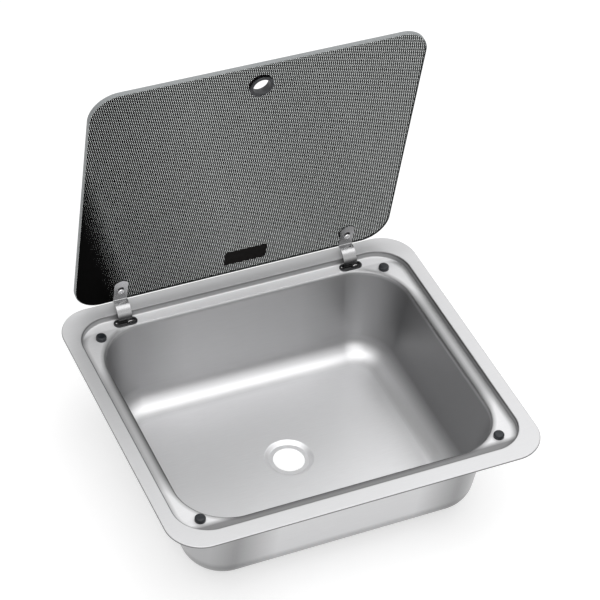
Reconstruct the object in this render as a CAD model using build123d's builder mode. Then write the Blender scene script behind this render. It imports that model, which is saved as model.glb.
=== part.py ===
from build123d import *
import os
from math import atan2, cos, degrees, pi, radians, sin, sqrt, tan

# Drop-in kitchen sink for a camper: one pressed stainless steel basin with a recessed ledge, and a
# toughened glass lid that lies in the recess on four rubber bumpers or stands open on two
# swan-neck hinges.
#
# Frame: millimetres, +Z up, +X to the right, +Y towards the hinges. The origin is the centre of the
# rim in the plane of the worktop, which the rim's turned-down edge rests on. The lid is modelled
# open, against the stop of its hinges.

# ---------------------------------------------------------------------------- driving dimensions
# Rim and sheet
SHEET = 0.8                 # thickness of the pressed steel sheet
RIM_WIDTH = 420.0           # rim, left to right
RIM_DEPTH = 370.0           # rim, front to back
RIM_CORNER = 38.5           # outer corner radius of the rim
RIM_ROLL = 2.0              # rounding where the rim turns down into the recess
RIM_LIFT = 0.7              # rim sheet above the worktop, held up by its turned-down edge
RIM_EDGE_ROUND = 1.2        # outer rounding of the turned-down edge

# Recess that the lid lies in
RECESS_SIDE_RIM = 16.5      # flat rim left beside the recess, left and right
RECESS_END_RIM = 20.5       # flat rim left at the front and the back of the recess
RECESS_CORNER = 37.0        # corner radius of the recess
RECESS_DEPTH = 8.0          # rim top to ledge
RECESS_FOOT = 1.5           # rounding where the recess wall meets the ledge

# Bowl
LEDGE_SIDE = 15.5           # recess wall to bowl wall, left and right
LEDGE_END = 14.5            # recess wall to bowl wall, front and back
MOUTH_CORNER = 56.0         # corner radius of the bowl at the ledge
MOUTH_ROLL = 3.0            # rounding where the ledge turns down into the bowl
BOWL_DEPTH = 120.0          # rim top to bowl floor
WALL_DRAFT = 7.2            # lean of the bowl walls, degrees
FLOOR_ROUND = 30.0          # rounding between the bowl walls and the floor

# Waste outlet, pressed into the floor
OUTLET_BACK = 5.0           # outlet centre behind the bowl centre
OUTLET_HOLE_R = 17.5        # hole for the waste fitting
OUTLET_SEAT_R = 22.5        # flat ring that the waste fitting sits on
OUTLET_SEAT_DEPTH = 3.5     # ring below the bowl floor
OUTLET_SEAT_SLOPE = 4.5     # width of the sloped step round the ring
OUTLET_ROUND = 1.2          # roundings of the step, on the inside

# Bumpers on the ledge
BUMPER_RADIUS = 5.8
LID_REST = 5.0              # ledge to the closed lid
REST_GAP = 0.2              # bumper top to the closed lid
BUMPER_DOME = 2.2           # rounding of the bumper's top edge
BUMPER_STEM_R = 2.5
BUMPER_BARB_R = 3.4         # retaining barb below the ledge
BUMPER_BARB_LENGTH = 2.6
BUMPER_SIDE_INSET = 24.5    # recess wall to bumper centre, left and right
BUMPER_END_INSET = 23.1     # recess wall to bumper centre, front and back

# Glass lid
LID_THICKNESS = 5.0
LID_SIDE_GAP = 6.0          # lid to recess wall, left and right
LID_END_GAP = 3.0           # lid to recess wall, front and back
LID_CORNER = 32.0
LID_EDGE = 0.8              # ground edge of the glass
OPEN_ANGLE = 81.5           # lid turned up from closed to its stop, degrees

# Finger hole in the lid, with its rubber ring
FINGER_INSET = 31.0         # front edge of the lid to the hole centre
FINGER_RADIUS = 9.6         # clear opening of the ring
RING_WALL = 1.9             # ring wall inside the glass hole
RING_LIP = 1.7              # lip beyond the glass hole
RING_LIP_HEIGHT = 1.5
RING_ROUND = 0.7

# Hinges: a bent strap that swings through a slot in the ledge
HINGE_INSET = 52.5          # side edge of the lid to the hinge centre
PIVOT_BEHIND = 10.95        # pivot behind the recess wall
PIVOT_BELOW = 7.45          # pivot below the rim top
STRAP_THICKNESS = 1.8
STRAP_WIDTH = 16.0
STRAP_SWEEP = 17.6          # radius of the strap's arc about the pivot, to mid thickness
STRAP_BEND = 2.0            # bend between the tab and the arc, to mid thickness
STRAP_HEEL = 2.4            # bend between the arc and the leg, to mid thickness
TAB_LENGTH = 34.2           # lid's back edge to the tab's far end
TAB_ARCH = 5.0              # rise of the arched end of the tab
TAB_HOLE_LENGTH = 10.0      # slotted hole that lets the lid be set straight
TAB_HOLE_WIDTH = 6.8
TAB_HOLE_SHIFT = 1.2        # hole centre beyond the screw, towards the tab's far end
EYE_TURN = 285.0            # how far the eye is rolled round the pin, degrees
EYE_WIDTH = 7.6             # rolled eye at the end of the leg
EYE_SIDE = 4.2              # eye centre to the left of the hinge centre
PIN_RADIUS = 1.75
PIN_HEAD_R = 2.9
PIN_HEAD = 1.0
PIN_HEAD_ROUND = 0.5
PIN_PLAY = 0.05             # radial play of the eye on the pin
FIT = 0.1                   # gap between parts that are fitted to each other

# Hinge bracket below the rim
BRACKET_SHEET = 1.5
BRACKET_PLAY = 0.6          # strap to bracket cheek
BRACKET_CHEEK_R = 3.4       # cheek round the pin
BRACKET_BEND = 1.5          # outer radius of the bends between web and cheeks

# Torsion spring on the pin
SPRING_WIRE = 1.1
SPRING_TURNS = 3            # whole turns
SPRING_PITCH = 1.6
SPRING_PLAY = 0.35          # coil to pin
SPRING_LEG_GAP = 0.3        # spring leg to strap
SPRING_LEAVE = 60.0         # angle below the horizontal where the leg leaves the coil, degrees
SPRING_SIDE = 7.4           # moving leg to the right of the hinge centre
SPRING_HOOK = 4.6           # width of the hook at the end of the moving leg
SPRING_HOOK_RISE = 5.6      # height of the hook in front of the strap
SPRING_HOOK_BACK = 6.5      # length of the hook's returning end
SPRING_HOOK_ROUND = 1.3
SPRING_SAMPLES = 400        # points on the wire at which its gap to itself is measured
COIL_LEG_ROOM = 0.8         # coil to the full-width part of the strap

# Slot liner in the ledge
LINER_WALL = 0.7
LINER_LIP = 1.2             # lip that lies on the ledge
LINER_LIP_HEIGHT = 1.6
LINER_ROUND = 0.6
LINER_END_PLAY = 3.6        # strap side to liner opening
LINER_OPENING = 8.0         # clear opening, front to back
STOP_GAP = 0.1              # leg of the open hinge to the liner that stops it

# Housing below the slot, closed round the strap's swing
HOUSING_WALL = 1.2
HOUSING_SWING = 20.5        # inner radius about the pivot
HOUSING_ROUND = 0.8
HOUSING_FLANGE = 5.0        # flanges that lie against the underside of the ledge
HOUSING_FLANGE_LENGTH = 6.0

# Fixing of each hinge tab to the glass
PAD_THICKNESS = 0.5         # pad between tab and glass
PAD_RADIUS = 7.0
SCREW_BACK = 18.2           # lid's back edge to the screw
SCREW_RADIUS = 2.0
SCREW_HEAD_R = 3.6
SCREW_HEAD = 2.0
SCREW_HEAD_ROUND = 1.2
DRIVE_WIDTH = 0.9           # cross recess of the screw
DRIVE_LENGTH = 4.2
DRIVE_DEPTH = 1.1
NUT_SLEEVE_R = 3.3          # threaded sleeve inside the glass
NUT_CAP_R = 8.0
NUT_CAP = 3.0
NUT_CAP_ROUND = 1.6
BUSH_WALL = 0.8             # plastic bush between sleeve and glass
BUSH_FLANGE = 0.8
SLEEVE_SHORT = 0.4          # sleeve end short of the lower face of the glass

# ---------------------------------------------------------------------------- derived places
RIM_TOP = RIM_LIFT + SHEET
RECESS_WIDTH = RIM_WIDTH - 2 * RECESS_SIDE_RIM
RECESS_LENGTH = RIM_DEPTH - 2 * RECESS_END_RIM
LEDGE_TOP = RIM_TOP - RECESS_DEPTH
LEDGE_UNDER = LEDGE_TOP - SHEET
MOUTH_WIDTH = RECESS_WIDTH - 2 * LEDGE_SIDE
MOUTH_LENGTH = RECESS_LENGTH - 2 * LEDGE_END
FLOOR_TOP = RIM_TOP - BOWL_DEPTH
SEAT_TOP = FLOOR_TOP - OUTLET_SEAT_DEPTH
BACK_WALL = RECESS_LENGTH / 2

LID_UNDER = LEDGE_TOP + LID_REST               # closed lid, lower face
LID_TOP = LID_UNDER + LID_THICKNESS            # closed lid, upper face
BUMPER_HEIGHT = LID_REST - REST_GAP
BUMPER_X = RECESS_WIDTH / 2 - BUMPER_SIDE_INSET
BUMPER_Y = RECESS_LENGTH / 2 - BUMPER_END_INSET
BUMPER_PLACES = {"front_left": (-BUMPER_X, -BUMPER_Y), "front_right": (BUMPER_X, -BUMPER_Y),
                 "back_left": (-BUMPER_X, BUMPER_Y), "back_right": (BUMPER_X, BUMPER_Y)}
LID_WIDTH = RECESS_WIDTH - 2 * LID_SIDE_GAP
LID_LENGTH = RECESS_LENGTH - 2 * LID_END_GAP
LID_BACK = LID_LENGTH / 2                      # closed lid, back edge
FINGER_Y = -LID_LENGTH / 2 + FINGER_INSET
RING_HOLE_R = FINGER_RADIUS + RING_WALL

PIVOT_Y = BACK_WALL + PIVOT_BEHIND
PIVOT_Z = RIM_TOP - PIVOT_BELOW
HINGE_X = LID_WIDTH / 2 - HINGE_INSET
HINGE_SIDES = {"left": -HINGE_X, "right": HINGE_X}
HALF_STRAP = STRAP_THICKNESS / 2
TAB_UNDER = LID_UNDER - PAD_THICKNESS - STRAP_THICKNESS   # closed tab, face away from the glass
TAB_MID = TAB_UNDER + HALF_STRAP
TAB_ARCH_RADIUS = ((STRAP_WIDTH / 2) ** 2 + TAB_ARCH ** 2) / (2 * TAB_ARCH)
CHEEK_X = STRAP_WIDTH / 2 + BRACKET_PLAY       # hinge centre to the inside of a cheek
PIN_HALF = CHEEK_X + BRACKET_SHEET + FIT
COIL_R = PIN_RADIUS + SPRING_PLAY + SPRING_WIRE / 2
EYE_MID_R = PIN_RADIUS + PIN_PLAY + HALF_STRAP
LEG_Z = PIVOT_Z - EYE_MID_R                    # open hinge, mid thickness of the leg
LEG_TOP = LEG_Z + HALF_STRAP
SCREW_Y = LID_BACK - SCREW_BACK
BUSH_RADIUS = NUT_SLEEVE_R + BUSH_WALL
GLASS_HOLE_R = BUSH_RADIUS + FIT
LINER_Y = BACK_WALL - RECESS_FOOT - FIT - LINER_LIP - LINER_WALL - LINER_OPENING / 2
LINER_LENGTH = STRAP_WIDTH + 2 * LINER_END_PLAY
LINER_OUT_LENGTH = LINER_LENGTH + 2 * LINER_WALL
LINER_OUT_WIDTH = LINER_OPENING + 2 * LINER_WALL
LINER_FOOT = LEG_TOP + STOP_GAP
HOUSING_X = LINER_OUT_LENGTH / 2 + FIT         # hinge centre to the inside of a housing wall
HOUSING_TOP = LEDGE_UNDER - FIT
SLEEVE_END = LID_UNDER + SLEEVE_SHORT
WEB_FRONT = BACK_WALL + RIM_ROLL + FIT
WEB_BACK = PIVOT_Y + BRACKET_CHEEK_R
COIL_TURNS = SPRING_TURNS + SPRING_LEAVE / 360
SPRING_LEG_LEVEL = -(EYE_MID_R + HALF_STRAP + SPRING_LEG_GAP + SPRING_WIRE / 2)
SPRING_HOOK_REACH = STRAP_SWEEP + HALF_STRAP + SPRING_LEG_GAP + SPRING_WIRE / 2
SPRING_FIXED_LEG = RIM_LIFT - BRACKET_SHEET - SPRING_LEG_GAP - PIVOT_Z   # pivot to the web

STANDING = (Align.CENTER, Align.CENTER, Align.MIN)
HANGING = (Align.CENTER, Align.CENTER, Align.MAX)
HOLD = 0.01                                    # half height of the band that picks a level face

os.makedirs("parts", exist_ok=True)


def turned(y, z):
    """Move a point of the closed lid to where it is when the lid is open."""
    a = radians(-OPEN_ANGLE)
    dy = y - PIVOT_Y
    dz = z - PIVOT_Z
    return PIVOT_Y + dy * cos(a) - dz * sin(a), PIVOT_Z + dy * sin(a) + dz * cos(a)


def lid_plane(height, y=0.0, x=0.0):
    """Plane parallel to the open lid; local axes are those of the closed lid at this height."""
    a = radians(OPEN_ANGLE)
    return Plane(origin=(x, *turned(y, height)), x_dir=(1, 0, 0), z_dir=(0, sin(a), cos(a)))


def pin_plane(x):
    """Plane square to the hinge pin, with local X to the back and local Y up."""
    return Plane(origin=(x, PIVOT_Y, PIVOT_Z), x_dir=(0, 1, 0), z_dir=(1, 0, 0))


def lid_axis(y, x=0.0):
    """Axis square to the open lid at a place given on the closed lid."""
    plane = lid_plane(LID_UNDER, y, x)
    return Axis(plane.origin, plane.z_dir)


def lid_section(y, x=0.0):
    """Plane that cuts the open lid square; local Y runs up through the glass from its lower face."""
    a = radians(OPEN_ANGLE)
    return Plane(origin=(x, *turned(y, LID_UNDER)), x_dir=(1, 0, 0), z_dir=(0, -cos(a), sin(a)))


def swing_floor(radius, back):
    """Side view of the space below the pivot: a quarter round that runs out level to the back."""
    with Locations((PIVOT_Y, PIVOT_Z)):
        Circle(radius)
        Rectangle(2 * radius, 2 * radius, align=(Align.MIN, Align.CENTER), mode=Mode.SUBTRACT)
        Rectangle(2 * radius, 2 * radius, align=(Align.CENTER, Align.MIN), mode=Mode.SUBTRACT)
        Rectangle(back - PIVOT_Y, radius, align=(Align.MIN, Align.MAX))


def level_face(piece, z):
    """The flat horizontal face at height z."""
    return piece.faces().filter_by(Axis.Z).filter_by_position(Axis.Z, z - HOLD, z + HOLD)[0]


# ---------------------------------------------------------------------------- pressed basin


def pocket(grow):
    """Solid that fills the recess, bowl and outlet seat, grown outwards by the sheet thickness."""
    draft = radians(WALL_DRAFT)
    wall_grow = grow / cos(draft) - grow * tan(draft)
    with BuildPart() as bowl:
        with BuildSketch(Plane.XY.offset(LEDGE_TOP - grow)):
            RectangleRounded(MOUTH_WIDTH + 2 * wall_grow, MOUTH_LENGTH + 2 * wall_grow,
                             MOUTH_CORNER + wall_grow)
        extrude(amount=FLOOR_TOP - LEDGE_TOP, taper=WALL_DRAFT)
        fillet(bowl.faces().sort_by(Axis.Z)[0].edges(), radius=FLOOR_ROUND + grow)
        with Locations((0, OUTLET_BACK, SEAT_TOP - grow)):
            Cone(bottom_radius=OUTLET_SEAT_R + grow, top_radius=OUTLET_SEAT_R + OUTLET_SEAT_SLOPE + grow,
                 height=OUTLET_SEAT_DEPTH, align=STANDING)
        fillet(bowl.faces().sort_by(Axis.Z)[0].edges(), radius=OUTLET_ROUND + grow)
        step = level_face(bowl, FLOOR_TOP - grow).inner_wires()[0].edges()
        fillet(step, radius=OUTLET_ROUND + SHEET - grow)
    with BuildPart() as whole:
        with BuildSketch(Plane.XY.offset(RIM_TOP)):
            RectangleRounded(RECESS_WIDTH + 2 * grow, RECESS_LENGTH + 2 * grow, RECESS_CORNER + grow)
        extrude(amount=-(RECESS_DEPTH + grow))
        fillet(whole.faces().sort_by(Axis.Z)[0].edges(), radius=RECESS_FOOT + grow)
        add(bowl.part)
        mouth = level_face(whole, LEDGE_TOP - grow).inner_wires()[0].edges()
        fillet(mouth, radius=MOUTH_ROLL - grow)
    return whole.part


with BuildPart() as basin:
    with BuildSketch():
        RectangleRounded(RIM_WIDTH, RIM_DEPTH, RIM_CORNER)
    extrude(amount=RIM_TOP)
    fillet(level_face(basin, RIM_TOP).edges(), radius=RIM_EDGE_ROUND)
    with BuildSketch():
        RectangleRounded(RIM_WIDTH - 2 * SHEET, RIM_DEPTH - 2 * SHEET, RIM_CORNER - SHEET)
    extrude(amount=RIM_LIFT, mode=Mode.SUBTRACT)
    fillet(level_face(basin, RIM_LIFT).edges(), radius=RIM_EDGE_ROUND - SHEET)
    add(pocket(SHEET))
    fillet(level_face(basin, RIM_LIFT).inner_wires()[0].edges(), radius=RIM_ROLL - SHEET)
    add(pocket(0.0), mode=Mode.SUBTRACT)
    fillet(level_face(basin, RIM_TOP).inner_wires()[0].edges(), radius=RIM_ROLL)
    with BuildSketch(Plane.XY.offset(SEAT_TOP)):
        with Locations((0, OUTLET_BACK)):
            Circle(OUTLET_HOLE_R)
    extrude(amount=-2 * SHEET, mode=Mode.SUBTRACT)
    with BuildSketch(Plane.XY.offset(LEDGE_TOP)):
        with Locations(*[(x, LINER_Y) for x in HINGE_SIDES.values()]):
            SlotOverall(LINER_OUT_LENGTH + 2 * FIT, LINER_OUT_WIDTH + 2 * FIT)
        with Locations(*BUMPER_PLACES.values()):
            Circle(BUMPER_STEM_R + FIT)
    extrude(amount=-2 * SHEET, mode=Mode.SUBTRACT)
basin.part.label = "basin"
export_step(basin.part, "parts/basin.step")

# ---------------------------------------------------------------------------- rubber bumpers

for corner, place in BUMPER_PLACES.items():
    with BuildPart() as bumper:
        with BuildSketch(Plane.XY.offset(LEDGE_TOP)):
            with Locations(place):
                Circle(BUMPER_RADIUS)
        extrude(amount=BUMPER_HEIGHT)
        fillet(bumper.faces().sort_by(Axis.Z)[-1].edges(), radius=BUMPER_DOME)
        with Locations((*place, LEDGE_TOP)):
            Cylinder(BUMPER_STEM_R, SHEET + FIT, align=HANGING)
        with Locations((*place, LEDGE_UNDER - FIT)):
            Cone(bottom_radius=BUMPER_STEM_R, top_radius=BUMPER_BARB_R, height=BUMPER_BARB_LENGTH,
                 align=HANGING)
    bumper.part.label = f"bumper_{corner}"
    export_step(bumper.part, f"parts/bumper_{corner}.step")

# ---------------------------------------------------------------------------- glass lid and ring

with BuildPart() as glass:
    with BuildSketch(lid_plane(LID_UNDER)):
        RectangleRounded(LID_WIDTH, LID_LENGTH, LID_CORNER)
        with Locations((0, FINGER_Y)):
            Circle(RING_HOLE_R + FIT, mode=Mode.SUBTRACT)
        with Locations(*[(x, SCREW_Y) for x in HINGE_SIDES.values()]):
            Circle(GLASS_HOLE_R, mode=Mode.SUBTRACT)
    extrude(amount=LID_THICKNESS)
    panes = glass.faces().sort_by(lid_axis(0.0))
    fillet(panes[0].outer_wire().edges() + panes[-1].outer_wire().edges(), radius=LID_EDGE)
glass.part.label = "glass_lid"
export_step(glass.part, "parts/glass_lid.step")

with BuildPart() as ring:
    with BuildSketch(lid_section(FINGER_Y)):
        with Locations((FINGER_RADIUS, -RING_LIP_HEIGHT)):
            Rectangle(RING_WALL, LID_THICKNESS + 2 * RING_LIP_HEIGHT, align=Align.MIN)
        with Locations((FINGER_RADIUS, -RING_LIP_HEIGHT), (FINGER_RADIUS, LID_THICKNESS)):
            Rectangle(RING_WALL + RING_LIP, RING_LIP_HEIGHT, align=Align.MIN)
    revolve(axis=lid_axis(FINGER_Y))
    ends = ring.faces().sort_by(lid_axis(FINGER_Y))
    fillet(ends[0].edges() + ends[-1].edges(), radius=RING_ROUND)
ring.part.label = "finger_ring"
export_step(ring.part, "parts/finger_ring.step")

# ---------------------------------------------------------------------------- hinges
# Side view of the strap, worked out for the closed lid and turned with it: the tab ends in a bend
# that meets the arc about the pivot, and the arc ends in a heel that meets the level leg.
BEND_Z = TAB_MID - STRAP_BEND
BEND_Y = PIVOT_Y - sqrt((STRAP_SWEEP + STRAP_BEND) ** 2 - (BEND_Z - PIVOT_Z) ** 2)
BEND_AT = degrees(atan2(BEND_Z - PIVOT_Z, BEND_Y - PIVOT_Y))
HEEL_Z = LEG_Z + STRAP_HEEL
HEEL_Y = PIVOT_Y - sqrt((STRAP_SWEEP - STRAP_HEEL) ** 2 - (HEEL_Z - PIVOT_Z) ** 2)
HEEL_AT = degrees(atan2(HEEL_Z - PIVOT_Z, HEEL_Y - PIVOT_Y)) % 360
WIDE_END_Y = PIVOT_Y - COIL_R - SPRING_WIRE / 2 - COIL_LEG_ROOM

for side, x in HINGE_SIDES.items():
    # Strap with its tab, arc, leg and rolled eye
    with BuildPart() as arm:
        with BuildSketch(Plane.YZ.offset(x)):
            with BuildLine():
                tab = Line(turned(LID_BACK - TAB_LENGTH, TAB_MID), turned(BEND_Y, TAB_MID))
                bend = JernArc(tab @ 1, tab % 1, STRAP_BEND, BEND_AT - 270)
                arc = JernArc(bend @ 1, bend % 1, STRAP_SWEEP, HEEL_AT - BEND_AT + OPEN_ANGLE)
                heel = JernArc(arc @ 1, arc % 1, STRAP_HEEL, 270 - HEEL_AT)
                Line(heel @ 1, (WIDE_END_Y, LEG_Z))
            trace(line_width=STRAP_THICKNESS)
        extrude(amount=STRAP_WIDTH / 2, both=True)
        with BuildSketch(lid_plane(TAB_UNDER, LID_BACK - TAB_LENGTH, x)):
            Rectangle(STRAP_WIDTH + 2 * FIT, TAB_ARCH, align=(Align.CENTER, Align.MIN))
            with Locations((0, TAB_ARCH_RADIUS)):
                Circle(TAB_ARCH_RADIUS, mode=Mode.SUBTRACT)
        extrude(amount=STRAP_THICKNESS, mode=Mode.SUBTRACT)
        with BuildSketch(lid_plane(TAB_UNDER, SCREW_Y - TAB_HOLE_SHIFT, x)):
            SlotOverall(TAB_HOLE_LENGTH, TAB_HOLE_WIDTH, rotation=90)
        extrude(amount=STRAP_THICKNESS, mode=Mode.SUBTRACT)
        with BuildSketch(Plane.YZ.offset(x - EYE_SIDE)):
            with BuildLine():
                neck = Line((WIDE_END_Y, LEG_Z), (PIVOT_Y, LEG_Z))
                JernArc(neck @ 1, neck % 1, EYE_MID_R, EYE_TURN)
            trace(line_width=STRAP_THICKNESS)
        extrude(amount=EYE_WIDTH / 2, both=True)
    arm.part.label = f"hinge_arm_{side}"
    export_step(arm.part, f"parts/hinge_arm_{side}.step")

    # Bracket below the rim, with a cheek on each side of the strap
    with BuildPart() as bracket:
        with BuildSketch(Plane.XY.offset(RIM_LIFT)):
            with Locations((x, WEB_FRONT)):
                Rectangle(2 * (CHEEK_X + BRACKET_SHEET), WEB_BACK - WEB_FRONT,
                          align=(Align.CENTER, Align.MIN))
        extrude(amount=-BRACKET_SHEET)
        for cheek_x in (x - CHEEK_X - BRACKET_SHEET, x + CHEEK_X):
            with BuildSketch(Plane.YZ.offset(cheek_x)):
                with Locations((WEB_FRONT, RIM_LIFT)):
                    Rectangle(WEB_BACK - WEB_FRONT, BRACKET_SHEET, align=(Align.MIN, Align.MAX))
                with Locations((PIVOT_Y, PIVOT_Z)):
                    Circle(BRACKET_CHEEK_R)
                make_hull()
            extrude(amount=BRACKET_SHEET)
        bends = level_face(bracket, RIM_LIFT).edges().filter_by(Axis.Y)
        fillet(bends, radius=BRACKET_BEND)
        with BuildSketch(Plane.YZ.offset(x)):
            with Locations((PIVOT_Y, PIVOT_Z)):
                Circle(PIN_RADIUS + PIN_PLAY)
        extrude(amount=PIN_HALF, both=True, mode=Mode.SUBTRACT)
    bracket.part.label = f"hinge_bracket_{side}"
    export_step(bracket.part, f"parts/hinge_bracket_{side}.step")

    # Pin with its two heads
    with BuildPart() as pin:
        with BuildSketch(pin_plane(x)):
            Circle(PIN_RADIUS)
        extrude(amount=PIN_HALF, both=True)
        with BuildSketch(pin_plane(x - PIN_HALF - PIN_HEAD), pin_plane(x + PIN_HALF)):
            Circle(PIN_HEAD_R)
        extrude(amount=PIN_HEAD)
        heads = pin.faces().sort_by(Axis.X)
        fillet(heads[0].edges() + heads[-1].edges(), radius=PIN_HEAD_ROUND)
    pin.part.label = f"hinge_pin_{side}"
    export_step(pin.part, f"parts/hinge_pin_{side}.step")

    # Torsion spring, drawn with its coil along local Z and then set on the pin
    with BuildPart() as winding:
        with BuildLine() as wire_line:
            coil = Helix(SPRING_PITCH, SPRING_PITCH * COIL_TURNS, COIL_R, lefthand=True)
            start = coil @ 0
            Line(start - (coil % 0) * SPRING_FIXED_LEG, start)
            drop = (coil @ 1) + (coil % 1) * ((SPRING_LEG_LEVEL - (coil @ 1).Y) / (coil % 1).Y)
            hook_top = SPRING_LEG_LEVEL + SPRING_HOOK_RISE
            FilletPolyline(coil @ 1, drop, (-SPRING_HOOK_REACH, SPRING_LEG_LEVEL, drop.Z),
                           (-SPRING_HOOK_REACH, hook_top, drop.Z),
                           (-SPRING_HOOK_REACH, hook_top, drop.Z - SPRING_HOOK),
                           (-SPRING_HOOK_REACH, SPRING_LEG_LEVEL, drop.Z - SPRING_HOOK),
                           (SPRING_HOOK_BACK - SPRING_HOOK_REACH, SPRING_LEG_LEVEL, drop.Z - SPRING_HOOK),
                           radius=SPRING_HOOK_ROUND)
        path = wire_line.wires()[0]
        with BuildSketch(Plane(origin=path @ 0, z_dir=path % 0)):
            Circle(SPRING_WIRE / 2)
        sweep(path=path)
    spots = [path @ (step / SPRING_SAMPLES) for step in range(SPRING_SAMPLES + 1)]
    half_turn = int(SPRING_SAMPLES * pi * COIL_R / path.length)
    nearest = min((a - b).length for i, a in enumerate(spots) for b in spots[i + half_turn:])
    print(f"hinge_spring_{side}: gap of the wire to itself {nearest - SPRING_WIRE:.2f} mm")
    with BuildPart() as spring:
        with Locations(pin_plane(x + SPRING_SIDE - drop.Z)):
            add(winding.part)
    spring.part.label = f"hinge_spring_{side}"
    export_step(spring.part, f"parts/hinge_spring_{side}.step")

    # Liner of the slot in the ledge; its lower edge stops the open hinge
    with BuildPart() as liner:
        with BuildSketch(Plane.XY.offset(LEDGE_TOP)):
            with Locations((x, LINER_Y)):
                SlotOverall(LINER_OUT_LENGTH + 2 * LINER_LIP, LINER_OUT_WIDTH + 2 * LINER_LIP)
        extrude(amount=LINER_LIP_HEIGHT)
        fillet(liner.faces().sort_by(Axis.Z)[-1].edges(), radius=LINER_ROUND)
        with BuildSketch(Plane.XY.offset(LEDGE_TOP)):
            with Locations((x, LINER_Y)):
                SlotOverall(LINER_OUT_LENGTH, LINER_OUT_WIDTH)
        extrude(amount=LINER_FOOT - LEDGE_TOP)
        with BuildSketch(Plane.XY.offset(LINER_FOOT)):
            with Locations((x, LINER_Y)):
                SlotOverall(LINER_LENGTH, LINER_OPENING)
        extrude(amount=LEDGE_TOP + LINER_LIP_HEIGHT - LINER_FOOT, mode=Mode.SUBTRACT)
    liner.part.label = f"slot_liner_{side}"
    export_step(liner.part, f"parts/slot_liner_{side}.step")

    # Housing that closes the slot from below, with a curved floor about the pivot
    with BuildPart() as housing:
        with BuildSketch(Plane.YZ.offset(x)):
            swing_floor(HOUSING_SWING + HOUSING_WALL, WEB_BACK)
        extrude(amount=HOUSING_X + HOUSING_WALL, both=True)
        floor_edges = housing.faces().filter_by(GeomType.CYLINDER)[0].edges().filter_by(GeomType.CIRCLE)
        fillet(floor_edges, radius=HOUSING_ROUND)
        with BuildSketch(Plane.XY.offset(HOUSING_TOP)):
            with Locations((x, LINER_Y)):
                Rectangle(2 * (HOUSING_X + HOUSING_WALL + HOUSING_FLANGE), HOUSING_FLANGE_LENGTH)
        extrude(amount=-HOUSING_WALL)
        with BuildSketch(Plane.YZ.offset(x)):
            swing_floor(HOUSING_SWING, WEB_BACK + HOUSING_WALL)
        extrude(amount=HOUSING_X, both=True, mode=Mode.SUBTRACT)
        with BuildSketch(Plane.XY.offset(LINER_FOOT - FIT)):
            with Locations((x, LINER_Y)):
                Rectangle(2 * HOUSING_X, 2 * HOUSING_SWING)
        extrude(amount=PIVOT_Z - LINER_FOOT + FIT, mode=Mode.SUBTRACT)
        split(bisect_by=Plane.XY.offset(HOUSING_TOP), keep=Keep.BOTTOM)
    housing.part.label = f"hinge_housing_{side}"
    export_step(housing.part, f"parts/hinge_housing_{side}.step")

    # Pad between the tab and the glass
    with BuildPart() as pad:
        with BuildSketch(lid_plane(LID_UNDER - PAD_THICKNESS, SCREW_Y, x)):
            Circle(PAD_RADIUS)
            Circle(SCREW_RADIUS + FIT, mode=Mode.SUBTRACT)
        extrude(amount=PAD_THICKNESS)
    pad.part.label = f"tab_pad_{side}"
    export_step(pad.part, f"parts/tab_pad_{side}.step")

    # Pan head screw with a cross recess
    with BuildPart() as screw:
        with BuildSketch(lid_plane(TAB_UNDER - SCREW_HEAD, SCREW_Y, x)):
            Circle(SCREW_HEAD_R)
        extrude(amount=SCREW_HEAD)
        fillet(screw.faces().sort_by(lid_axis(SCREW_Y, x))[0].edges(), radius=SCREW_HEAD_ROUND)
        with BuildSketch(lid_plane(TAB_UNDER, SCREW_Y, x)):
            Circle(SCREW_RADIUS)
        extrude(amount=LID_TOP - TAB_UNDER)
        with BuildSketch(lid_plane(TAB_UNDER - SCREW_HEAD, SCREW_Y, x)):
            Rectangle(DRIVE_LENGTH, DRIVE_WIDTH)
            Rectangle(DRIVE_WIDTH, DRIVE_LENGTH)
        extrude(amount=DRIVE_DEPTH, mode=Mode.SUBTRACT)
    screw.part.label = f"tab_screw_{side}"
    export_step(screw.part, f"parts/tab_screw_{side}.step")

    # Cap nut on the upper face of the glass, its sleeve reaching into the hole
    with BuildPart() as nut:
        with BuildSketch(lid_plane(LID_TOP + BUSH_FLANGE, SCREW_Y, x)):
            Circle(NUT_CAP_R)
        extrude(amount=NUT_CAP)
        fillet(nut.faces().sort_by(lid_axis(SCREW_Y, x))[-1].edges(), radius=NUT_CAP_ROUND)
        with BuildSketch(lid_plane(SLEEVE_END, SCREW_Y, x)):
            Circle(NUT_SLEEVE_R)
        extrude(amount=LID_TOP + BUSH_FLANGE - SLEEVE_END)
        with BuildSketch(lid_plane(SLEEVE_END, SCREW_Y, x)):
            Circle(SCREW_RADIUS + FIT)
        extrude(amount=LID_TOP + BUSH_FLANGE - SLEEVE_END, mode=Mode.SUBTRACT)
    nut.part.label = f"cap_nut_{side}"
    export_step(nut.part, f"parts/cap_nut_{side}.step")

    # Bush that keeps the nut off the glass
    with BuildPart() as bush:
        with BuildSketch(lid_plane(LID_TOP, SCREW_Y, x)):
            Circle(NUT_CAP_R)
        extrude(amount=BUSH_FLANGE)
        with BuildSketch(lid_plane(SLEEVE_END, SCREW_Y, x)):
            Circle(BUSH_RADIUS)
        extrude(amount=LID_TOP - SLEEVE_END)
        with BuildSketch(lid_plane(SLEEVE_END, SCREW_Y, x)):
            Circle(NUT_SLEEVE_R + FIT / 2)
        extrude(amount=LID_TOP + BUSH_FLANGE - SLEEVE_END, mode=Mode.SUBTRACT)
    bush.part.label = f"cap_bush_{side}"
    export_step(bush.part, f"parts/cap_bush_{side}.step")
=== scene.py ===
import logging
import math
from abc import ABC, abstractmethod
from dataclasses import dataclass, field
from enum import Enum
from typing import Any, Optional, Sequence, Union

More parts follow.
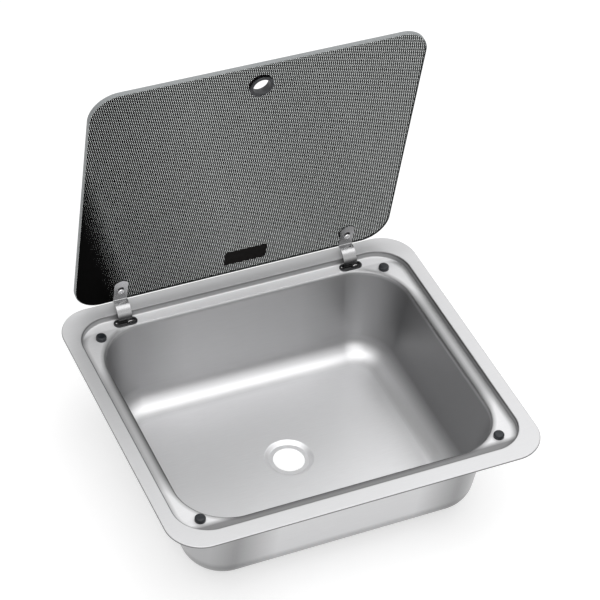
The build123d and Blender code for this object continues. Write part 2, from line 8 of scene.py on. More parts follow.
import bmesh
import bpy
from bmesh.types import BMEdge, BMesh, BMVert
from bpy.types import Material, Node, NodeSocket, Object, World
from mathutils import Matrix, Vector


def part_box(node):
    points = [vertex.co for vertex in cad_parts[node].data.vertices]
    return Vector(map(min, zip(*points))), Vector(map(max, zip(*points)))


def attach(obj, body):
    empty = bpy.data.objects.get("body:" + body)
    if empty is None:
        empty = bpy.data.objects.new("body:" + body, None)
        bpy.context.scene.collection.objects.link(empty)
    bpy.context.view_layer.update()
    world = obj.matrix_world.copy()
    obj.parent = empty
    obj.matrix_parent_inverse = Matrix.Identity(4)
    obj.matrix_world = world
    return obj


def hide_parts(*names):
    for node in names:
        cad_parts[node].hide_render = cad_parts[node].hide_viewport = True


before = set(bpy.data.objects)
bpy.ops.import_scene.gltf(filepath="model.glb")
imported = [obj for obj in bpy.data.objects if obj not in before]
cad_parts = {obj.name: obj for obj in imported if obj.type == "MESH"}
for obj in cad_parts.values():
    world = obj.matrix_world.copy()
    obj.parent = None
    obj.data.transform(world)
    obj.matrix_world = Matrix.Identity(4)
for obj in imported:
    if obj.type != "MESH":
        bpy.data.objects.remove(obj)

# Looks of a drop-in camper sink: a pressed steel basin, a dot-printed glass lid that stands open on
# two swan-neck hinges, and their small fittings. Lengths are millimetres until a piece is finished;
# +Z is up, +Y runs to the hinges, and the origin is the centre of the rim in the worktop plane.

MM = 0.001
LOG = logging.getLogger("camper_sink")

Pair = tuple[float, float]
Triple = tuple[float, float, float]
Colour = tuple[float, float, float, float]
Arcs = dict[tuple[bool, bool], tuple[Vector, float]]


class Body(Enum):
    """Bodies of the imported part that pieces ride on."""

    BASIN = "basin"
    LID = "lid"


class Slot(Enum):
    """Material slots of the part's record, passed along with each new piece."""

    BASIN_STEEL = "basin_steel"
    LID_GLASS = "lid_glass"
    BLACK_PLASTIC = "black_plastic"


class Side(Enum):
    """The two hinges, named as a person in front of the sink sees them."""

    LEFT = "left"
    RIGHT = "right"


class Grain(Enum):
    """Direction that a steel surface was brushed in, as the scale of its noise on each axis."""

    ALONG_X = (0.02, 1.0, 1.0)
    NONE = (1.0, 1.0, 1.0)


# ---------------- node graphs


@dataclass(frozen=True)
class Noise:
    """Noise over a surface: features per metre, octaves, weight of the finer ones and scale of each axis."""

    per_m: float
    detail: float = 2.0
    roughness: float = 0.5
    stretch: Triple = (1.0, 1.0, 1.0)


class Graph:
    """Node tree of a material or of the world, with short ways to add and join its nodes."""

    def __init__(self, owner: Union[Material, World]) -> None:
        """Start an empty tree.

        Args:
            owner: New material or world that the tree belongs to.
        """
        owner.use_nodes = True
        self.tree = owner.node_tree
        self.tree.nodes.clear()
        self._coords: Optional[NodeSocket] = None

    def node(self, kind: str, inputs: Optional[dict[str, Any]] = None, **settings: Any) -> Node:
        """Add a node, set its options and fill its sockets.

        Args:
            kind: Blender's name of the node type.
            inputs: Socket name or number to a plain value, or to a socket that is linked to it.
            settings: Options of the node itself.

        Returns:
            The new node.
        """
        made = self.tree.nodes.new(kind)
        for name, value in settings.items():
            setattr(made, name, value)
        for key, value in (inputs or {}).items():
            if isinstance(value, NodeSocket):
                self.tree.links.new(value, made.inputs[key])
            else:
                made.inputs[key].default_value = value
        return made

    def coords(self) -> NodeSocket:
        """The object's own coordinates, in metres."""
        if self._coords is None:
            self._coords = self.node("ShaderNodeTexCoord").outputs["Object"]
        return self._coords

    def math(self, operation: str, *values: Any) -> NodeSocket:
        """Result of a Math node.

        Args:
            operation: Name of the operation.
            values: Numbers or sockets, in order.

        Returns:
            The value socket.
        """
        return self.node("ShaderNodeMath", dict(enumerate(values)), operation=operation).outputs[0]

    def vector(self, operation: str, *values: Any, result: str = "Vector") -> NodeSocket:
        """Result of a Vector Math node.

        Args:
            operation: Name of the operation.
            values: Vectors or sockets, in order.
            result: Name of the socket to read.

        Returns:
            The result socket.
        """
        return self.node("ShaderNodeVectorMath", dict(enumerate(values)), operation=operation).outputs[result]

    def scaled(self, colour: NodeSocket, factor: Any) -> NodeSocket:
        """Colour made lighter or darker by a number or a value socket."""
        return self.node("ShaderNodeVectorMath", {0: colour, 3: factor}, operation="SCALE").outputs[0]

    def spread(self, value: NodeSocket, low: float, high: float,
               start: float = 0.0, end: float = 1.0) -> NodeSocket:
        """Map a value from start..end to low..high.

        Args:
            value: Socket that is mapped.
            low: Result at start.
            high: Result at end.
            start: Lower end of the source range.
            end: Upper end of the source range.

        Returns:
            The mapped value socket.
        """
        return self.node("ShaderNodeMapRange", {"Value": value, "From Min": start, "From Max": end,
                                                "To Min": low, "To Max": high}).outputs["Result"]

    def mix(self, share: Any, first: Any, second: Any) -> NodeSocket:
        """Blend of two colours.

        Args:
            share: Share of the second colour.
            first: Colour or socket at share 0.
            second: Colour or socket at share 1.

        Returns:
            The colour socket.
        """
        return self.node("ShaderNodeMix", {"Factor": share, 6: first, 7: second}, data_type="RGBA").outputs[2]

    def noise(self, noise: Noise) -> NodeSocket:
        """Noise over the object's coordinates.

        Args:
            noise: Settings of the noise.

        Returns:
            The value socket, 0 to 1.
        """
        place = self.node("ShaderNodeMapping", {"Vector": self.coords(), "Scale": noise.stretch})
        return self.node("ShaderNodeTexNoise", {
            "Vector": place.outputs[0], "Scale": noise.per_m, "Detail": noise.detail,
            "Roughness": noise.roughness}).outputs["Fac"]

    def bump(self, height: NodeSocket, depth: float, strength: float) -> NodeSocket:
        """Normal that a height field gives.

        Args:
            height: Height, 0 to 1.
            depth: Real height of 1, in metres.
            strength: Share of the effect.

        Returns:
            The normal socket.
        """
        return self.node("ShaderNodeBump", {"Height": height, "Distance": depth, "Strength": strength}).outputs[0]

    def looking(self) -> NodeSocket:
        """Share that is 1 for rays that look at the surroundings: camera, mirror and glass rays.

        Returns:
            The share socket.
        """
        path = self.node("ShaderNodeLightPath").outputs
        straight = self.math("MAXIMUM", path["Is Camera Ray"], path["Is Glossy Ray"])
        return self.math("MAXIMUM", straight, path["Is Transmission Ray"])

    def end(self, shader: Node, kind: str = "ShaderNodeOutputMaterial") -> None:
        """Join the last shader to an output node of the given kind."""
        self.node(kind, {"Surface": shader.outputs[0]})


# ---------------- finishes


def grey(tone: float, blue: float = 0.0) -> Colour:
    """Opaque grey with a little more blue."""
    return (tone, tone, tone + blue, 1.0)


@dataclass(frozen=True)
class Finish(ABC):
    """Look of a surface, from which its node material is made."""

    name: str

    @abstractmethod
    def inputs(self, graph: Graph) -> dict[str, Any]:
        """Inputs of the Principled shader.

        Args:
            graph: Graph that the nodes are added to.

        Returns:
            Plain value or socket of each input.
        """

    def material(self) -> Material:
        """Build the node material.

        Returns:
            The material.
        """
        made = bpy.data.materials.new(self.name)
        graph = Graph(made)
        graph.end(graph.node("ShaderNodeBsdfPrincipled", self.inputs(graph)))
        return made


@dataclass(frozen=True)
class SatinSteel(Finish):
    """Stainless steel sheet with a fine grain and soft patches."""

    tone: float = 0.62
    warmth: float = 0.0
    roughness: float = 0.30
    grain: Grain = Grain.ALONG_X
    grain_per_m: float = 2600.0
    grain_depth: float = 0.000004
    grain_tone: float = 0.95
    grain_edge: Pair = (0.3, 0.7)
    grain_rough: float = 0.035
    patches: Noise = Noise(14.0, 3.0)
    patch_tone: float = 0.025
    patch_rough: float = 0.02
    blue: float = 1.012

    def colour(self, factor: float) -> Colour:
        """Base colour, made lighter or darker by a factor."""
        tone = self.tone * factor
        return (tone * (1 + self.warmth), tone, tone * (self.blue - self.warmth), 1.0)

    def levels(self, graph: Graph) -> tuple[Any, Any, Any]:
        """Factor on the tone, added roughness and share of mirror, even all over a plain sheet."""
        return 1.0, 0.0, 1.0

    def inputs(self, graph: Graph) -> dict[str, Any]:
        """Inputs of the Principled shader.

        Args:
            graph: Graph that the nodes are added to.

        Returns:
            Plain value or socket of each input.
        """
        factor, rougher, mirror = self.levels(graph)
        lines = graph.noise(Noise(self.grain_per_m, detail=3.0, roughness=0.6, stretch=self.grain.value))
        patches = graph.noise(self.patches)
        tint = graph.mix(patches, self.colour(1.0 - self.patch_tone), self.colour(1.0 + self.patch_tone))
        grained = graph.mix(graph.spread(lines, 0.0, 1.0, *self.grain_edge), tint, self.colour(self.grain_tone))
        rough = graph.math(
            "ADD", graph.spread(lines, self.roughness - self.grain_rough, self.roughness + self.grain_rough),
            graph.spread(patches, -self.patch_rough, self.patch_rough))
        return {"Base Color": graph.scaled(grained, factor), "Metallic": mirror,
                "Roughness": graph.math("ADD", rough, rougher),
                "Normal": graph.bump(lines, self.grain_depth, strength=0.5)}


@dataclass(frozen=True)
class Level:
    """Look of a sheet at one height, its tone holding painted light and shade: tone, added roughness, share of the
    painted side shade and share of mirror.
    """

    height: float
    tone: float
    rougher: float = 0.0
    shade_share: float = 0.0
    mirror: float = 1.0


@dataclass(frozen=True)
class OutlineShade:
    """Painted shade along an outline of the pressing: its distances from the outline and its darkest tone."""

    half_size: Pair
    corner: float
    start: float
    end: float
    tone: float


@dataclass(frozen=True)
class Band:
    """Change along the width or the depth of the sheet, from its start to its full tone at its end; it carries painted
    light and shade, and the back strip's share of mirror.
    """

    start: float
    end: float
    tone: float


EVEN = Band(0.0, 1.0, 1.0)  # no change anywhere


@dataclass(frozen=True)
class PaintedShadeSteel(SatinSteel):
    """Satin sheet with painted light and shade: painted shade on the upright walls, painted light on the ledge.

    A level's tone, added roughness, shade share and mirror ride in the red, green, blue and alpha of one
    colour ramp over the height, so the tone is kept there in units of tone_unit and the roughness from
    rough_zero. The shade share says how far the painted side shade bands across the width show at that height.
    """

    top: float = 4.0
    foot: float = -124.0
    tone_unit: float = 2.0
    rough_zero: float = 0.5
    ledge: float = -6.5
    ledge_reach: Pair = (0.3, 1.5)
    # Painted shade on the front strip of the ledge and painted light on its back strip.
    front_shade: Band = Band(-146.0, -152.0, 0.3)
    back_painted_light: Band = Band(138.0, 153.0, 1.2)
    back_mirror: Band = Band(142.0, 158.0, 0.4)
    # Painted shade on the walls, darker towards their left and right ends.
    side_shade_bands: Sequence[Band] = (Band(70.0, 165.0, 0.54),)
    # Painted light and shade by height: bright floor, a painted highlight band up the floor fillet with painted shade
    # just below it, darker walls, a darker mouth roll, a bright ledge, a darker recess wall, a dark outer rim edge and
    # a bright rim top.
    levels_up: Sequence[Level] = (
        Level(-124.0, 1.46, 0.06), Level(-118.4, 1.46, 0.06), Level(-118.1, 1.2, 0.06), Level(-117.0, 1.05, 0.03),
        Level(-114.0, 1.18), Level(-111.5, 1.18), Level(-102.0, 0.92, 0.0, 0.5), Level(-92.0, 0.8, -0.03, 1.0),
        Level(-12.0, 0.84, -0.03, 1.0), Level(-9.4, 0.7), Level(-7.1, 0.7), Level(-6.6, 1.4, 0.12, 0.0, 0.4),
        Level(-6.3, 1.4, 0.12, 0.0, 0.4), Level(-5.2, 0.6), Level(-1.2, 0.6), Level(0.3, 0.28),
        Level(1.3, 0.34), Level(1.46, 1.12, 0.08, 0.0, 0.65))
    # Painted shade at the ledge's bends next to the recess wall and the mouth, and on its narrow side strips.
    outline_shades: Sequence[OutlineShade] = (OutlineShade((193.5, 164.5), 37.0, -1.0, -7.0, 0.5), OutlineShade((178.0, 150.0), 56.0, 2.0, 6.0, 0.55),
                           OutlineShade((178.0, 118.0), 56.0, 2.0, 18.0, 0.35))

    @staticmethod
    def banded(graph: Graph, place: NodeSocket, band: Band, low: float = 1.0) -> NodeSocket:
        """Factor that goes from a low value to the tone of a band, by a coordinate in metres."""
        return graph.spread(place, low, band.tone, band.start * MM, band.end * MM)

    def ledge_shading(self, graph: Graph, depth: NodeSocket, height: NodeSocket) -> NodeSocket:
        """Factor on the tone of the ledge: painted shade at its bends and in front, and painted light at the back.

        Args:
            graph: Graph that the nodes are added to.
            depth: Y of the point, in metres.
            height: Z of the point, in metres.

        Returns:
            The factor socket, 1 away from the ledge.
        """
        factor: Any = 1.0
        folded = graph.vector("ABSOLUTE", graph.vector("MULTIPLY", graph.coords(), (1.0, 1.0, 0.0)))
        for shaded_outline in self.outline_shades:
            straight = Vector((shaded_outline.half_size[0] - shaded_outline.corner, shaded_outline.half_size[1] - shaded_outline.corner, 0.0)) * MM
            past = graph.vector("MAXIMUM", graph.vector("SUBTRACT", folded, straight), (0.0, 0.0, 0.0))
            reach = graph.vector("LENGTH", past, result="Value")
            factor = graph.math("MULTIPLY", factor, graph.spread(
                reach, shaded_outline.tone, 1.0, (shaded_outline.corner + shaded_outline.start) * MM, (shaded_outline.corner + shaded_outline.end) * MM))
        factor = graph.math("MULTIPLY", factor, self.banded(graph, depth, self.front_shade))
        factor = graph.math("MAXIMUM", factor, self.banded(graph, depth, self.back_painted_light, 0.0))
        near, far = self.ledge_reach
        off = graph.math("ABSOLUTE", graph.math("SUBTRACT", height, self.ledge * MM))
        away = graph.spread(off, 0.0, 1.0, near * MM, far * MM)
        return graph.math("ADD", graph.math("MULTIPLY", factor, graph.math("SUBTRACT", 1.0, away)), away)

    def levels(self, graph: Graph) -> tuple[Any, Any, Any]:
        """Tone with its painted light and shade, roughness and mirror by height and place.

        Args:
            graph: Graph that the nodes are added to.

        Returns:
            The factor on the tone, the added roughness and the share of mirror, as sockets.
        """
        place = graph.node("ShaderNodeSeparateXYZ", {"Vector": graph.coords()}).outputs
        ramp = graph.node("ShaderNodeValToRGB", {
            "Fac": graph.spread(place["Z"], 0.0, 1.0, self.foot * MM, self.top * MM)})
        stops = ramp.color_ramp.elements
        ready = len(stops)
        for number, level in enumerate(self.levels_up):
            share = (level.height - self.foot) / (self.top - self.foot)
            stop = stops[number] if number < ready else stops.new(share)
            stop.position = share
            stop.color = (level.tone / self.tone_unit, level.rougher + self.rough_zero, level.shade_share, level.mirror)
        parts = graph.node("ShaderNodeSeparateColor", {"Color": ramp.outputs["Color"]}).outputs
        tone = graph.math("MULTIPLY", graph.math("MULTIPLY", parts["Red"], self.tone_unit),
                          self.ledge_shading(graph, place["Y"], place["Z"]))
        # Painted shade towards the left and right ends, shown as far as each level's shade share lets it.
        aside = graph.math("ABSOLUTE", place["X"])
        for band in self.side_shade_bands:
            change = graph.spread(aside, 0.0, band.tone - 1.0, band.start * MM, band.end * MM)
            tone = graph.math("MULTIPLY", tone, graph.math("MULTIPLY_ADD", change, parts["Blue"], 1.0))
        mirror = graph.math("MULTIPLY", ramp.outputs["Alpha"], self.banded(graph, place["Y"], self.back_mirror))
        return tone, graph.math("SUBTRACT", parts["Green"], self.rough_zero), mirror


@dataclass(frozen=True)
class Mottled(Finish):
    """Surface that drifts between two colours and two roughnesses over patches, with a fine relief."""

    first: Colour
    second: Colour
    roughness: Pair
    patches: Noise
    relief: Noise
    depth: float = 0.00001
    strength: float = 0.5
    edge: Pair = (0.0, 1.0)
    constants: Sequence[tuple[str, float]] = ()

    def inputs(self, graph: Graph) -> dict[str, Any]:
        """Inputs of the Principled shader.

        Args:
            graph: Graph that the nodes are added to.

        Returns:
            Plain value or socket of each input.
        """
        relief = graph.noise(self.relief)
        patches = graph.noise(self.patches)
        colour: Any = self.first
        if self.second != self.first:
            colour = graph.mix(graph.spread(patches, 0.0, 1.0, *self.edge), self.first, self.second)
        return {"Base Color": colour, "Roughness": graph.spread(patches, *self.roughness),
                "Normal": graph.bump(relief, self.depth, self.strength), **dict(self.constants)}

    @classmethod
    def moulded(cls, name: str, colour: Triple, roughness: float,
                pit_depth: float = 0.00001, shine: float = 0.5) -> "Mottled":
        """Moulded rubber or plastic, with fine pits and a pale bloom.

        Args:
            name: Name of the material.
            colour: Colour without bloom.
            roughness: Middle of the roughness.
            pit_depth: Depth of the pits, in metres.
            shine: Specular level.

        Returns:
            The finish.
        """
        paler, added, smoother, duller = 1.5, 0.004, 0.06, 0.08
        bloom = (*(part * paler + added for part in colour), 1.0)
        return cls(name, (*colour, 1.0), bloom, (roughness - smoother, roughness + duller), Noise(180.0, 3.0),
                   Noise(3200.0), pit_depth, edge=(0.35, 0.75), constants=(("Specular IOR Level", shine),))


SCRATCHES = Noise(1500.0, 3.0, 0.6, (1.0, 0.2, 0.2))
GROUND_GLASS = Mottled("ground_edge", (0.28, 0.295, 0.3, 1.0), (0.224, 0.236, 0.24, 1.0), (0.35, 0.55),
                       SCRATCHES, SCRATCHES, constants=(("IOR", 1.5),))
CLEAR_GLASS = Mottled("toughened_glass", (0.93, 0.96, 0.95, 1.0), (0.93, 0.96, 0.95, 1.0), (0.0, 0.02),
                      Noise(60.0, 4.0), Noise(22.0), 0.00002, 0.2,
                      constants=(("Transmission Weight", 1.0), ("IOR", 1.5)))
BRIGHT_STEEL = Mottled("bright_steel", grey(0.8, 0.008), grey(0.688, 0.008), (0.14, 0.26),
                       Noise(260.0, 3.0), Noise(1800.0), 0.000004, 0.4, constants=(("Metallic", 1.0),))


@dataclass(frozen=True)
class DotPrint(Finish):
    """Black enamel print with a close pattern of clear round dots; painted shade shrinks the dots to solid black
    towards one corner.
    """

    up_lid: Triple
    corner: Triple
    pitch: float = 2.46
    radius: float = 0.575
    turn: float = 15.0
    edge: float = 0.06
    # Painted shade: how far from the corner, along the edge and up the lid, the dots shrink to solid black.
    corner_shade_side: float = 35.0
    corner_shade_up: float = 120.0
    corner_shade_steps: Triple = (0.95, 2.0, 5.5)
    small: float = 0.78
    ink: float = 0.0015
    pale_ink: float = 1.5
    mottle: Noise = Noise(400.0)
    roughness: Pair = (0.45, 0.55)
    shine: float = 0.01

    def inputs(self, graph: Graph) -> dict[str, Any]:
        """Inputs of the Principled shader; the dots are clear through its alpha.

        Args:
            graph: Graph that the nodes are added to.

        Returns:
            Plain value or socket of each input.
        """
        from_corner = graph.vector("SUBTRACT", graph.coords(), Vector(self.corner) * MM)
        side = graph.vector("DOT_PRODUCT", from_corner, (1.0, 0.0, 0.0), result="Value")
        rise = graph.vector("DOT_PRODUCT", from_corner, self.up_lid, result="Value")
        flat = graph.node("ShaderNodeCombineXYZ", {"X": side, "Y": rise}).outputs[0]
        turned = graph.node("ShaderNodeVectorRotate", {"Vector": flat, "Angle": math.radians(self.turn)},
                            rotation_type="Z_AXIS").outputs[0]
        inside = graph.math("SUBTRACT", self.distance(graph, turned), self.size(graph, side, rise))
        mottle = graph.noise(self.mottle)
        return {"Base Color": graph.mix(mottle, grey(self.ink), grey(self.ink * self.pale_ink)),
                "Specular IOR Level": self.shine, "Roughness": graph.spread(mottle, *self.roughness),
                "Alpha": graph.spread(inside, 0.0, 1.0, -self.edge * MM, self.edge * MM)}

    def distance(self, graph: Graph, place: NodeSocket) -> NodeSocket:
        """Distance to the nearest dot's centre; the dots stand at the corners and middles of tall cells.

        Args:
            graph: Graph that the nodes are added to.
            place: Place on the print, in metres.

        Returns:
            The distance socket, in metres.
        """
        row = self.pitch * MM
        cell = (row, row * math.sqrt(3.0), 1.0)
        steps = graph.vector("DIVIDE", place, cell)
        found = []
        for shift in ((0.5, 0.5, 0.0), (0.0, 0.0, 0.0)):
            part = graph.vector("FRACTION", graph.vector("ADD", steps, shift))
            centred = graph.vector("SUBTRACT", part, (0.5, 0.5, 0.0))
            flat = graph.vector("MULTIPLY", centred, (cell[0], cell[1], 0.0))
            found.append(graph.vector("LENGTH", flat, result="Value"))
        return graph.math("MINIMUM", *found)

    def size(self, graph: Graph, side: NodeSocket, rise: NodeSocket) -> NodeSocket:
        """Radius of the dots, shrinking to nothing towards the corner as painted shade.

        Args:
            graph: Graph that the nodes are added to.
            side: Distance from the corner along the hinge edge, in metres.
            rise: Distance from the corner up the lid, in metres.

        Returns:
            The radius socket, in metres.
        """
        reach = graph.math("ADD", graph.math("DIVIDE", side, self.corner_shade_side * MM),
                           graph.math("DIVIDE", rise, self.corner_shade_up * MM))
        start, most, full = self.corner_shade_steps
        radius = self.radius * MM
        return graph.math("ADD", graph.spread(reach, -self.edge * MM, self.small * radius, start, most),
                          graph.spread(reach, 0.0, (1.0 - self.small) * radius, most, full))


# ---------------- mesh helpers


def placed(name: str, data: Any) -> Object:
    """Add an object to the scene.

    Args:
        name: Name of the object.
        data: Its mesh, lamp or camera.

    Returns:
        The object.
    """
    made = bpy.data.objects.new(name, data)
    bpy.context.scene.collection.objects.link(made)
    return made


def meshed(name: str, bm: BMesh) -> Object:
    """Add a finished mesh to the scene, scaled to metres.

    Args:
        name: Name of the object and its mesh.
        bm: Mesh in millimetres; it is freed.

    Returns:
        The object.
    """
    bmesh.ops.scale(bm, vec=(MM, MM, MM), verts=bm.verts)
    mesh = bpy.data.meshes.new(name)
    bm.to_mesh(mesh)
    bm.free()
    return placed(name, mesh)


@dataclass(frozen=True)
class Outline:
    """Rounded rectangle or circle that a pressed step follows."""

    width: float
    length: float
    corner: float
    centre_y: float = 0.0

    def quarters(self, half_width: float, z: float) -> Arcs:
        """Corner arcs of the outline, offset so that it has the given half width.

        Args:
            half_width: Half width of the offset outline.
            z: Height of the outline.

        Returns:
            Centre and radius of the arc in each quarter, by whether it is to the right and to the back.
        """
        offset = half_width - self.width / 2
        radius = self.corner + offset
        spread_x = half_width - radius
        spread_y = self.length / 2 + offset - radius
        return {(right, back): (Vector((spread_x if right else -spread_x,
                                        self.centre_y + (spread_y if back else -spread_y), z)), radius)
                for right in (False, True) for back in (False, True)}

    def loop(self, bm: BMesh, half_width: float, z: float, count: int) -> list[BMEdge]:
        """Add the outline to a mesh.

        Args:
            bm: Mesh that takes the loop.
            half_width: Half width of the loop.
            z: Height of the loop.
            count: Vertices of the loop, a multiple of four.

        Returns:
            The edges of the loop.
        """
        made = bmesh.ops.create_circle(bm, radius=1.0, segments=count,
                                       matrix=Matrix.Rotation(math.pi / count, 4, "Z"))["verts"]
        unit = {key: (Vector(), 1.0) for key in self.quarters(half_width, z)}
        move_quarters(bm, made, Vector(), unit, self.quarters(half_width, z))
        return list({e for v in made for e in v.link_edges})


def move_quarters(bm: BMesh, verts: Sequence[BMVert], middle: Vector, source: Arcs, target: Arcs) -> None:
    """Move the four corner arcs of a loop from one outline to another.

    Args:
        bm: Mesh of the loop.
        verts: Vertices of the loop.
        middle: Middle of the outline that the loop is on.
        source: Corner arcs that the loop is on.
        target: Corner arcs that it goes to.
    """
    sorted_verts: dict[tuple[bool, bool], list[BMVert]] = {key: [] for key in source}
    for vert in verts:
        sorted_verts[(vert.co.x > middle.x, vert.co.y > middle.y)].append(vert)
    for key, quarter in sorted_verts.items():
        (old_centre, old_radius), (new_centre, new_radius) = source[key], target[key]
        bmesh.ops.transform(bm, verts=quarter, matrix=Matrix.Translation(new_centre)
                            @ Matrix.Scale(new_radius / old_radius, 4) @ Matrix.Translation(-old_centre))


@dataclass(frozen=True)
class Corner:
    """One corner of a section: its half width and height, its rounding, and the outline it follows."""

    half_width: float
    z: float
    outline: Outline
    round_radius: float = 0.0


@dataclass(frozen=True)
class Section:
    """Closed section that is swept round nested outlines."""

    corners: Sequence[Corner]
    arc_step: float = 9.0
    least_steps: int = 4

    def rounded(self, corner: Corner, before: Corner, after: Corner) -> list[tuple[Outline, float, float]]:
        """Loops of one corner, several where it is rounded.

        Args:
            corner: The corner.
            before: Corner before it.
            after: Corner after it.

        Returns:
            Outline, half width and height of each loop.
        """
        here, last, following = (Vector((c.half_width, c.z)) for c in (corner, before, after))
        if not corner.round_radius:
            return [(corner.outline, here.x, here.y)]
        back = (last - here).normalized()
        ahead = (following - here).normalized()
        bend = math.pi - back.angle(ahead)
        reach = corner.round_radius * math.tan(bend / 2)
        centre = here + (back + ahead).normalized() * corner.round_radius / math.cos(bend / 2)
        first = here + back * reach - centre
        turn = first.angle_signed(here + ahead * reach - centre)
        steps = max(self.least_steps, math.ceil(math.degrees(abs(turn)) / self.arc_step))
        found = []
        for step in range(steps + 1):
            spoke = first.copy()
            spoke.rotate(Matrix.Rotation(-turn * step / steps, 2))
            found.append((corner.outline, centre.x + spoke.x, centre.y + spoke.y))
        return found

    def loops(self) -> list[tuple[Outline, float, float]]:
        """Outline, half width and height of every loop, in order round the section.

        Returns:
            The loops.
        """
        following = (*self.corners[1:], self.corners[0])
        return [loop for number, (corner, after) in enumerate(zip(self.corners, following))
                for loop in self.rounded(corner, self.corners[number - 1], after)]

    def sweep(self, bm: BMesh, count: int) -> None:
        """Add the swept solid to a mesh.

        Args:
            bm: Mesh that takes the solid.
            count: Vertices of each loop.
        """
        loops = self.loops()
        outline, half_width, z = loops[0]
        first = edges = outline.loop(bm, half_width, z, count)
        arcs = outline.quarters(half_width, z)
        middle_y = outline.centre_y
        for outline, half_width, z in loops[1:]:
            made = bmesh.ops.extrude_edge_only(bm, edges=edges)["geom"]
            verts = {v for v in made if isinstance(v, BMVert)}
            edges = [e for e in made if isinstance(e, BMEdge) and verts.issuperset(e.verts)]
            following = outline.quarters(half_width, z)
            move_quarters(bm, list(verts), Vector((0, middle_y, 0)), arcs, following)
            arcs, middle_y = following, outline.centre_y
        bmesh.ops.bridge_loops(bm, edges=first + edges)
        bmesh.ops.recalc_face_normals(bm, faces=bm.faces)


class Workshop:
    """Turns finished meshes into pieces of the part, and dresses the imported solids."""

    def __init__(self) -> None:
        """Keep a place for the finishes that were already built."""
        self._built: dict[str, Material] = {}

    def material(self, finish: Finish) -> Material:
        """Material of a finish, built once.

        Args:
            finish: The finish.

        Returns:
            The material.
        """
        if finish.name not in self._built:
            self._built[finish.name] = finish.material()
        return self._built[finish.name]

    def piece(self, name: str, bm: BMesh, finishes: Sequence[Finish], body: Body, slot: Slot,
              replaces: Sequence[str] = (), sharp: float = 35.0) -> Object:
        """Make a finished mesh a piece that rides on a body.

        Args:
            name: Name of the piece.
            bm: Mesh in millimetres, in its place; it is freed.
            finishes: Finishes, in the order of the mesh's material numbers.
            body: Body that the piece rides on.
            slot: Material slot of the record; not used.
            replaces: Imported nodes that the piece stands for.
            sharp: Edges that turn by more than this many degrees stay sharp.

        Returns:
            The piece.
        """
        made = meshed(name, bm)
        mesh = made.data
        mesh.shade_smooth()
        mesh.set_sharp_from_angle(angle=math.radians(sharp))
        for finish in finishes:
            mesh.materials.append(self.material(finish))
        smoothing = made.modifiers.new("flat faces first", "WEIGHTED_NORMAL")
        smoothing.keep_sharp = True
        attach(made, body.value)
        if replaces:
            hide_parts(*replaces)
        LOG.info("%s: %d faces on %s", name, len(mesh.polygons), body.value)
        return made

    def dress(self, node: str, finish: Finish) -> None:
        """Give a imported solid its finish.

        Args:
            node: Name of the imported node.
            finish: Its finish.
        """
        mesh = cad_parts[node].data
        mesh.materials.clear()
        mesh.materials.append(self.material(finish))
        LOG.info("%s: %s", node, finish.name)


def cut(piece: Object, tool: BMesh) -> None:
    """Cut a tool out of a piece and keep the result as its mesh.

    Args:
        piece: Piece that is cut.
        tool: Closed mesh in millimetres; it is freed.
    """
    cutter = meshed("cutter", tool)
    hole = piece.modifiers.new("holes", "BOOLEAN")
    hole.operation = "DIFFERENCE"
    hole.solver = "EXACT"
    hole.object = cutter
    finished = bpy.data.meshes.new_from_object(piece.evaluated_get(bpy.context.evaluated_depsgraph_get()))
    finished.name = piece.name
    piece.modifiers.remove(hole)
    piece.data = finished
    bpy.data.meshes.remove(cutter.data)


def drill(bm: BMesh, place: Sequence[float], radius: float, height: float, count: int) -> None:
    """Add an upright cylinder, centred on a place, that will cut a hole.

    Args:
        bm: Mesh that takes the cylinder.
        place: Centre of the cylinder.
        radius: Radius.
        height: Height.
        count: Vertices round it.
    """
    bmesh.ops.create_cone(bm, cap_ends=True, segments=count, radius1=radius, radius2=radius, depth=height,
                          matrix=Matrix.Translation(place))


def obround(bm: BMesh, place: Vector, length: float, width: float, height: float, count: int) -> None:
    """Add an upright obround block, long along X, centred on a place.

    Args:
        bm: Mesh that takes the block.
        place: Centre of the block.
        length: Overall length.
        width: Width.
        height: Height.
        count: Vertices round the block.
    """
    made = bmesh.ops.create_cone(bm, cap_ends=True, segments=count, radius1=width / 2, radius2=width / 2,
                                 depth=height, matrix=Matrix.Rotation(math.pi / count, 4, "Z"))["verts"]
    spread = (length - width) / 2
    for sign in (-1, 1):
        bmesh.ops.translate(bm, verts=[v for v in made if v.co.x * sign > 0], vec=(sign * spread, 0, 0))
    bmesh.ops.translate(bm, verts=made, vec=place)


# ---------------- basin


